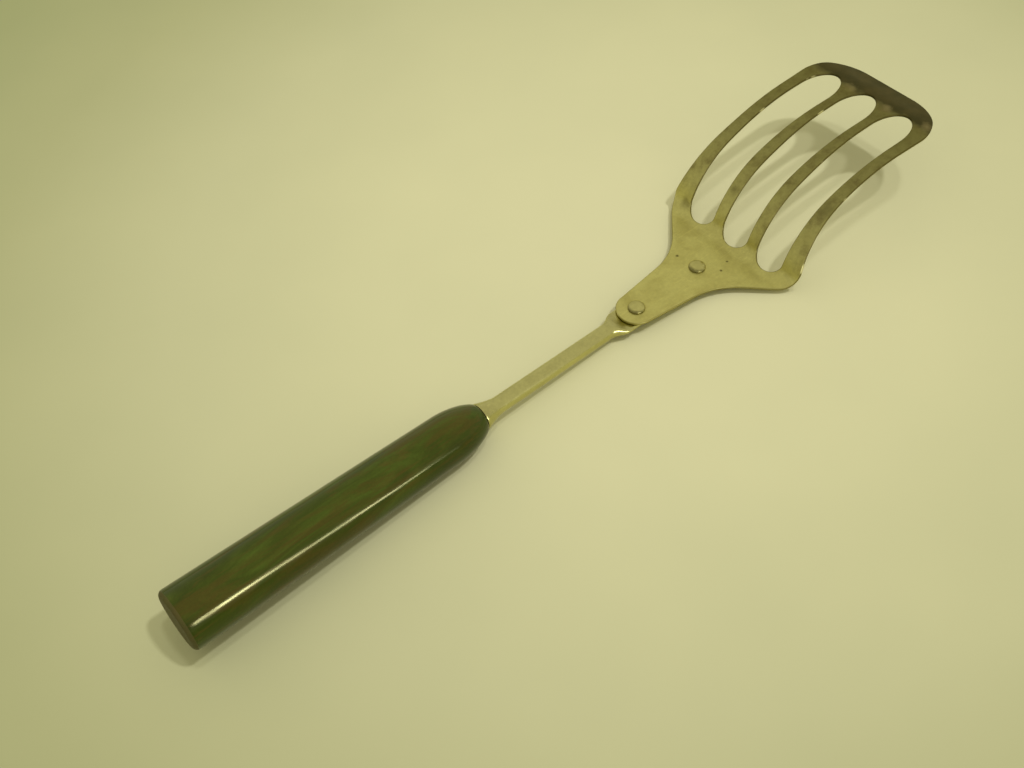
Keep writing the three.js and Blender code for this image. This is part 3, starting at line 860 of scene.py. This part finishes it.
def add_distant_lamp(name, direction, share, angle):
    """A lamp far away that gives a level floor this share of its light."""
    direction = Vector(direction).normalized()
    power = share * math.pi / direction.z
    lamp = add_lamp(name, "SUN", power, LAMP_COLOUR, angle=angle * DEGREE)
    lamp.visible_glossy = False
    aim(lamp, direction)


def add_strip(name, start, end, width, power):
    """A narrow lamp between two points, facing the handle, that shows in reflections only."""
    start, end = Vector(start), Vector(end)
    middle = (start + end) / 2
    length = (end - start).length
    lamp = add_lamp(
        name, "AREA", power, STRIP_COLOUR, shape="RECTANGLE", size=width, size_y=length,
    )
    facing = (Vector(STRIP_TARGET) - middle).normalized()
    along = (end - start).normalized()
    along = (along - facing * along.dot(facing)).normalized()
    across = along.cross(-facing)
    turn = Matrix((across, along, -facing)).transposed()
    lamp.matrix_world = Matrix.LocRotScale(middle, turn, None)
    lamp.visible_diffuse = False


def add_light():
    """Soft light all round, two distant lamps and the strips that make the handle's highlight."""
    world = bpy.data.worlds.new("studio")
    world.use_nodes = True
    back = world.node_tree.nodes["Background"]
    back.inputs["Color"].default_value = SKY_COLOUR
    back.inputs["Strength"].default_value = SKY_STRENGTH
    bpy.context.scene.world = world
    for lamp in DISTANT_LAMPS:
        add_distant_lamp(*lamp)
    for strip in STRIP_LAMPS:
        add_strip(*strip)


def add_camera():
    """The camera where the photograph was taken from."""
    data = bpy.data.cameras.new("camera")
    data.sensor_fit = "HORIZONTAL"
    data.sensor_width = CAMERA_SENSOR_WIDTH
    data.lens = CAMERA_LENS
    camera = bpy.data.objects.new("camera", data)
    bpy.context.scene.collection.objects.link(camera)
    right, up = Vector(CAMERA_RIGHT), Vector(CAMERA_UP)
    turn = Matrix((right, up, right.cross(up))).transposed()
    camera.matrix_world = Matrix.LocRotScale(Vector(CAMERA_PLACE), turn, None)
    bpy.context.scene.camera = camera


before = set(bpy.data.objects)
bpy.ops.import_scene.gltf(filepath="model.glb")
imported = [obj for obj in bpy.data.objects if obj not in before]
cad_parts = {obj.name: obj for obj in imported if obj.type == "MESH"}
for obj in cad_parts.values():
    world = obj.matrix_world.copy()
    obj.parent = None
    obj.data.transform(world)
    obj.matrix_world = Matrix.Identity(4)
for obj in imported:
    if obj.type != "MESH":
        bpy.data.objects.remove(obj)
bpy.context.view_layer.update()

handle = make_handle()
handle.data.materials.append(phenolic_material())
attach(handle, "root")
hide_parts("handle")

shank = make_shank()
shank.data.materials.append(steel_graph("bright_steel", *TUBE_STEEL)[0].material)
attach(shank, "root")
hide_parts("shank")

blade = make_blade()
blade.data.materials.append(sheet_material())
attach(blade, "root")
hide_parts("blade")

rivet_steel = rivet_material()
for node, position in (("rear_rivet", REAR_RIVET), ("front_rivet", FRONT_RIVET)):
    rivet = make_rivet(node + "_head", position)
    rivet.data.materials.append(rivet_steel)
    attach(rivet, "root")
    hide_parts(node)

rod_steel = steel_graph("rod_steel", *ROD_STEEL)[0].material
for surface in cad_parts["tang"].material_slots:
    surface.material = rod_steel

make_floor()
add_light()
add_camera()
bpy.context.scene.view_settings.view_transform = "Standard"
